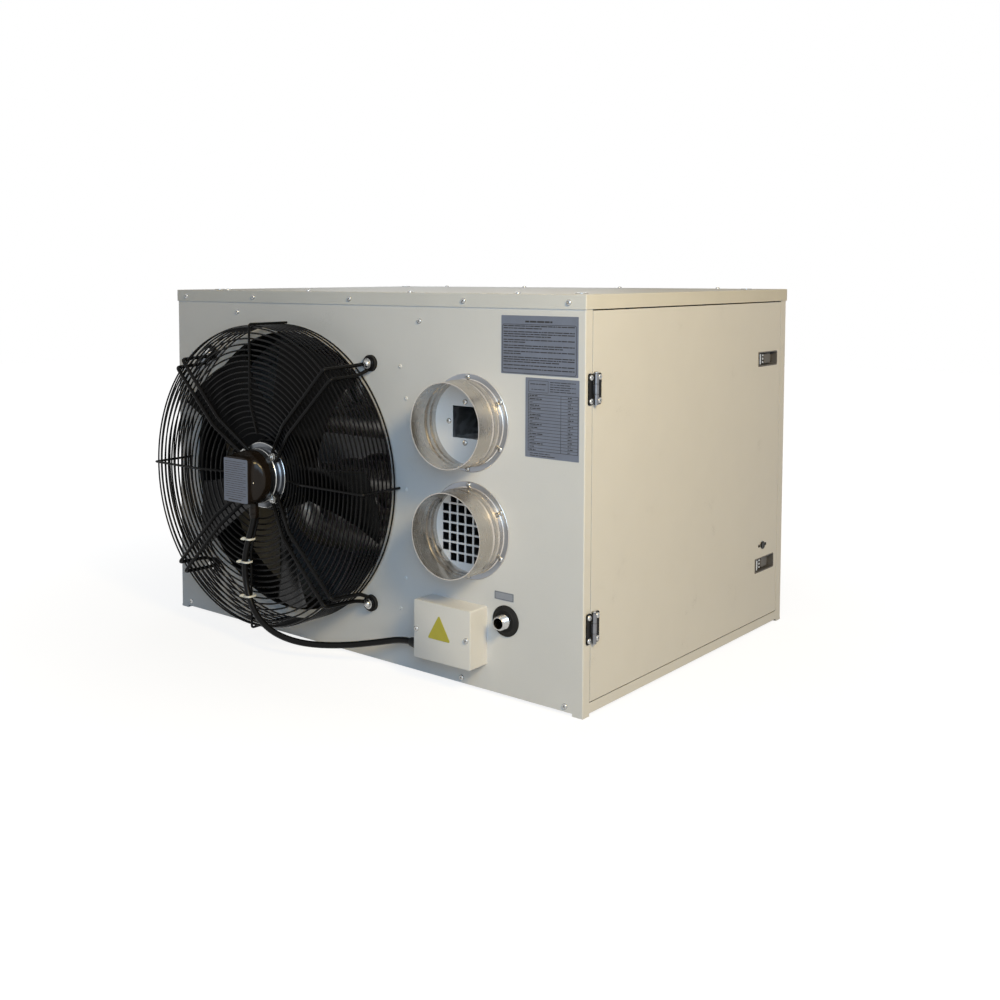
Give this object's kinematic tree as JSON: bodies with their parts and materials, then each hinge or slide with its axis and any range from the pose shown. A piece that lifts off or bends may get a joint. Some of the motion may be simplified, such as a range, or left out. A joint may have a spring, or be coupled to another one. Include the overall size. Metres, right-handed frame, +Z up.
{
  "type": "gas-fired warm air unit heater",
  "caption": "Box-shaped warm air heater: caged axial fan, flue and air spigots, gas inlet and junction box at the front, latched service door at the side, louvred outlet behind.",
  "frame": {"origin": "on the floor, under the middle of the whole heater's bounding box, fan guard and lid rim included", "axes": "+X to the right along the fan face, towards the service door; +Y from the fan face into the casing, towards the warm air outlet; +Z up"},
  "size_m": [0.8698, 0.7602, 0.5826],
  "materials": {
    "white_paint": "off-white powder coat, fine orange peel",
    "black_paint": "gloss black paint",
    "black_plastic": "black moulded, satin",
    "black_rubber": "black, dull",
    "bright_screw": "bright zinc plate",
    "zinc_steel": "galvanised sheet",
    "motor_casting": "die-cast, satin",
    "bare_aluminium": "spun aluminium, satin",
    "burner_steel": "aluminised steel, dull",
    "white_nylon": "natural nylon",
    "yellow_sticker": "yellow film, blank",
    "grey_plate": "dark grey film, blank"
  },
  "bodies": {
    "casing": {"base_pan": "white_paint", "corner_feet": "white_paint", "corner_posts": "zinc_steel", "fan_panel": "white_paint", "outlet_panel": "white_paint", "top_lid": "white_paint", "hanging_nuts": "zinc_steel", "left_side_panel": "white_paint", "partition": "zinc_steel", "fan_ring": "black_paint", "fan_guard": "black_paint", "guard_washers": "black_rubber", "guard_bolts": "bright_screw", "fan_motor": "motor_casting", "motor_terminal_box": "black_plastic", "motor_nuts": "bright_screw", "flue_spigot": "bare_aluminium", "air_spigot": "bare_aluminium", "panel_screws": "bright_screw", "partition_rivets": "white_paint", "fan_lead": "black_rubber", "lead_ties": "white_nylon", "lead_bush": "black_plastic", "junction_box": "white_paint", "junction_cover": "white_paint", "terminal_block": "white_nylon", "marker_plate": "yellow_sticker", "blank_plates": "grey_plate", "gas_grommet": "black_rubber", "gas_pipe": "zinc_steel", "gas_valve": "motor_casting", "gas_manifold": "zinc_steel", "burners": "burner_steel", "burner_rack": "zinc_steel", "heat_tubes": "burner_steel", "flue_collector": "burner_steel", "draught_housing": "zinc_steel", "draught_motor": "motor_casting", "pressure_switch": "white_nylon", "control_box": "black_plastic", "frame_hinge_leaves": "black_plastic", "hinge_pins": "bright_screw"},
    "impeller": {"impeller_hub": "black_paint", "impeller_blades": "black_paint"},
    "draught_rotor": {"draught_wheel": "zinc_steel"},
    "gas_knob": {"valve_knob": "black_plastic"},
    "service_door": {"door": "white_paint", "door_hinge_leaves": "black_plastic", "door_screws": "bright_screw", "latch_trays": "black_plastic", "reset_thermostat": "zinc_steel"},
    "upper_latch": {"latch_slider_upper": "bright_screw"},
    "lower_latch": {"latch_slider_lower": "bright_screw"},
    "reset": {"reset_button": "black_plastic"},
    "louvre_1": {"louvre_1": "white_paint"},
    "louvre_2": {"louvre_2": "white_paint"},
    "louvre_3": {"louvre_3": "white_paint"},
    "louvre_4": {"louvre_4": "white_paint"},
    "louvre_5": {"louvre_5": "white_paint"},
    "louvre_6": {"louvre_6": "white_paint"}
  },
  "joints": [
    {"name": "fan_spin", "type": "hinge", "parent": "casing", "child": "impeller", "pos_m": [-0.1498, -0.2666, 0.2807], "axis": [0, 1, 0], "continuous": true},
    {"name": "draught_fan_spin", "type": "hinge", "parent": "casing", "child": "draught_rotor", "pos_m": [0.2266, 0.0234, 0.437], "axis": [1, 0, 0], "continuous": true},
    {"name": "gas_knob_turn", "type": "hinge", "parent": "casing", "child": "gas_knob", "pos_m": [0.2833, -0.1116, 0.15], "axis": [0, 0, 1], "range_deg": [0, 90]},
    {"name": "door_swing", "type": "hinge", "parent": "casing", "child": "service_door", "pos_m": [0.4314, -0.2456, 0.29], "axis": [0, 0, -1], "range_deg": [0, 120]},
    {"name": "upper_latch_slide", "type": "slide", "parent": "service_door", "child": "upper_latch", "axis": [0, 1, 0], "range_m": [0, 0.009]},
    {"name": "lower_latch_slide", "type": "slide", "parent": "service_door", "child": "lower_latch", "axis": [0, 1, 0], "range_m": [0, 0.009]},
    {"name": "reset_press", "type": "slide", "parent": "service_door", "child": "reset", "axis": [-1, 0, 0], "range_m": [0, 0.0015], "stiffness_N_per_m": 500},
    {"name": "louvre_1_tilt", "type": "hinge", "parent": "casing", "child": "louvre_1", "pos_m": [-0.1459, 0.3514, 0.0983], "axis": [1, 0, 0], "range_deg": [-60, 50]},
    {"name": "louvre_2_tilt", "type": "hinge", "parent": "casing", "child": "louvre_2", "pos_m": [-0.1459, 0.3514, 0.1749], "axis": [1, 0, 0], "range_deg": [-60, 50]},
    {"name": "louvre_3_tilt", "type": "hinge", "parent": "casing", "child": "louvre_3", "pos_m": [-0.1459, 0.3514, 0.2515], "axis": [1, 0, 0], "range_deg": [-60, 50]},
    {"name": "louvre_4_tilt", "type": "hinge", "parent": "casing", "child": "louvre_4", "pos_m": [-0.1459, 0.3514, 0.3281], "axis": [1, 0, 0], "range_deg": [-60, 50]},
    {"name": "louvre_5_tilt", "type": "hinge", "parent": "casing", "child": "louvre_5", "pos_m": [-0.1459, 0.3514, 0.4047], "axis": [1, 0, 0], "range_deg": [-60, 50]},
    {"name": "louvre_6_tilt", "type": "hinge", "parent": "casing", "child": "louvre_6", "pos_m": [-0.1459, 0.3514, 0.4813], "axis": [1, 0, 0], "range_deg": [-60, 50]}
  ]
}
